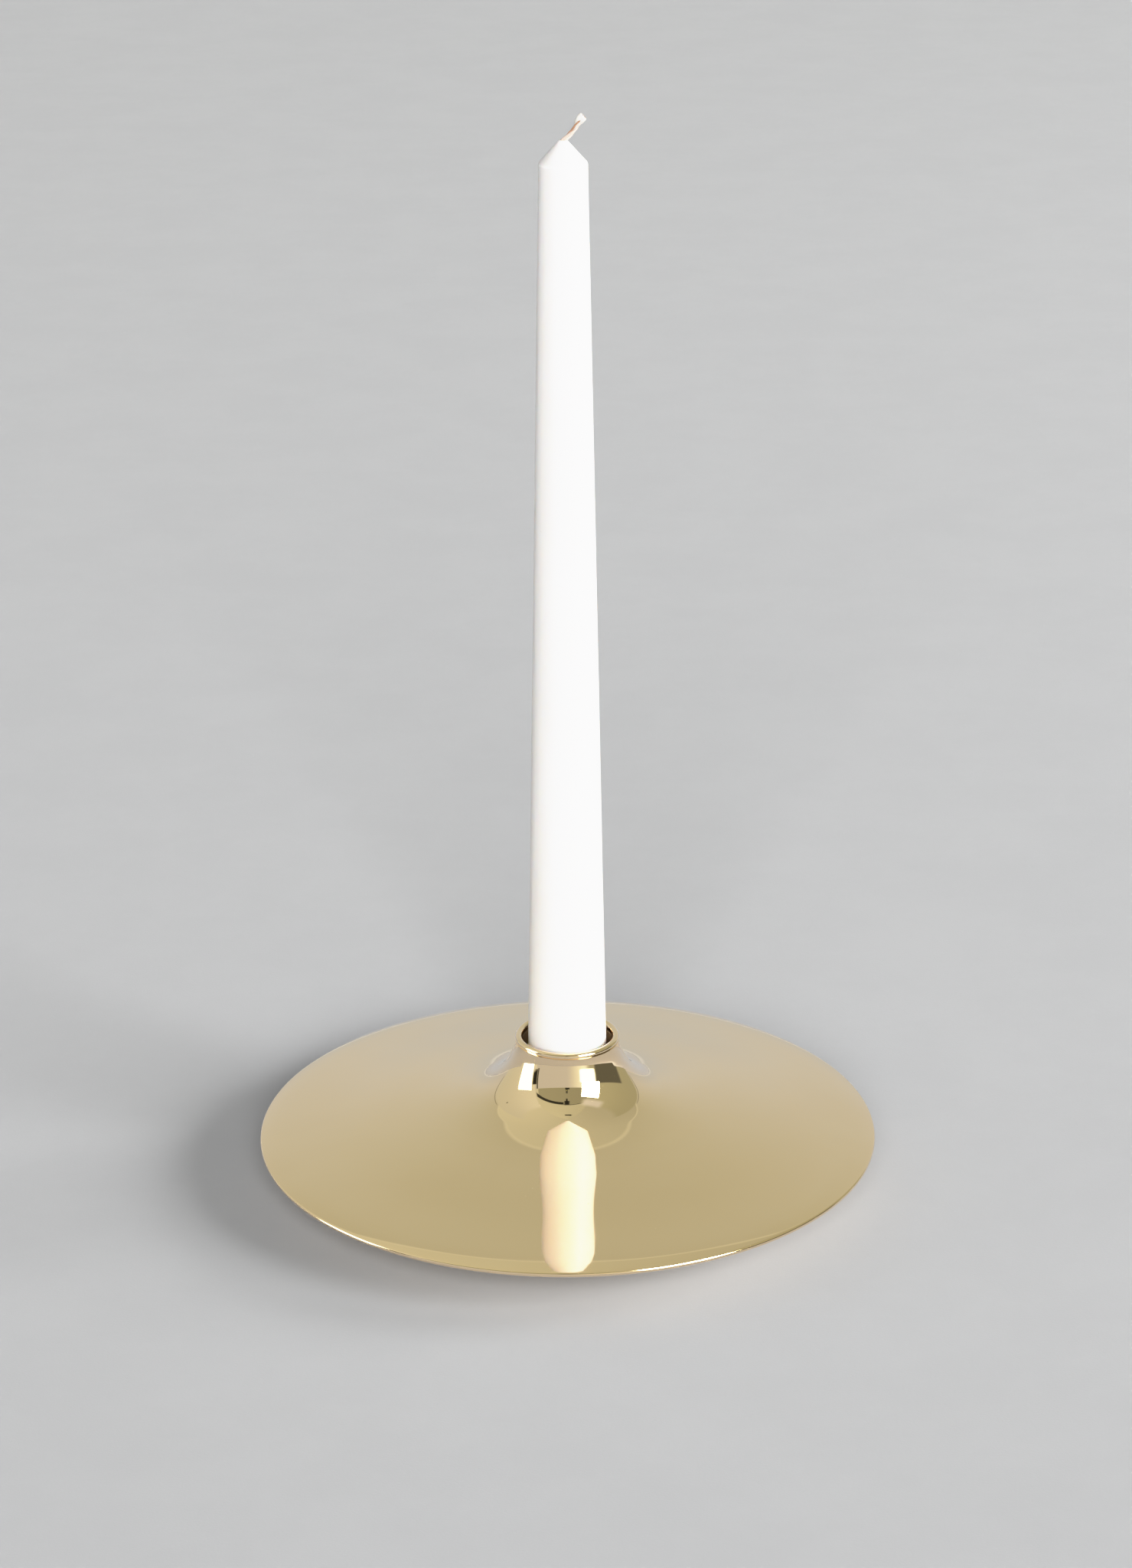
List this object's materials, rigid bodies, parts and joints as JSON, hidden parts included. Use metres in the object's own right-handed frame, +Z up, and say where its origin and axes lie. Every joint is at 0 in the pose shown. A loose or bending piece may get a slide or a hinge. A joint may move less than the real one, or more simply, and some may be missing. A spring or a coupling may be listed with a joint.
{
  "type": "candle holder",
  "caption": "Round polished brass candle plate with a flared neck and rounded lip, holding a tall tapered white dinner candle with a curled wick.",
  "frame": {"origin": "centre of the felt pad's underside, on the table under the middle of the disc", "axes": "+Z up along the candle, +X the way the wick curls over"},
  "size_m": [0.17, 0.17, 0.299],
  "materials": {
    "disc_brass": "polished, lacquered",
    "cup_brass": "polished",
    "foot_iron": "black lacquer over fine casting grain",
    "cushion_rubber": "matt",
    "screw_steel": "zinc plated",
    "washer_steel": "zinc plated",
    "felt": "wool felt",
    "wax": "smooth wax, slightly translucent",
    "wick_cotton": "twisted cotton with a waxed end"
  },
  "bodies": {
    "holder": {"disc_shell": "disc_brass", "candle_cup": "cup_brass", "foot_weight": "foot_iron", "cushion_ring": "cushion_rubber", "clamp_screw": "screw_steel", "lock_washer": "washer_steel", "felt_pad": "felt"},
    "candle": {"candle_body": "wax", "candle_wick": "wick_cotton"}
  },
  "joints": [
    {"name": "candle_lift", "type": "slide", "parent": "holder", "child": "candle", "axis": [0, 0, 1], "range_m": [0, 0.04]}
  ]
}
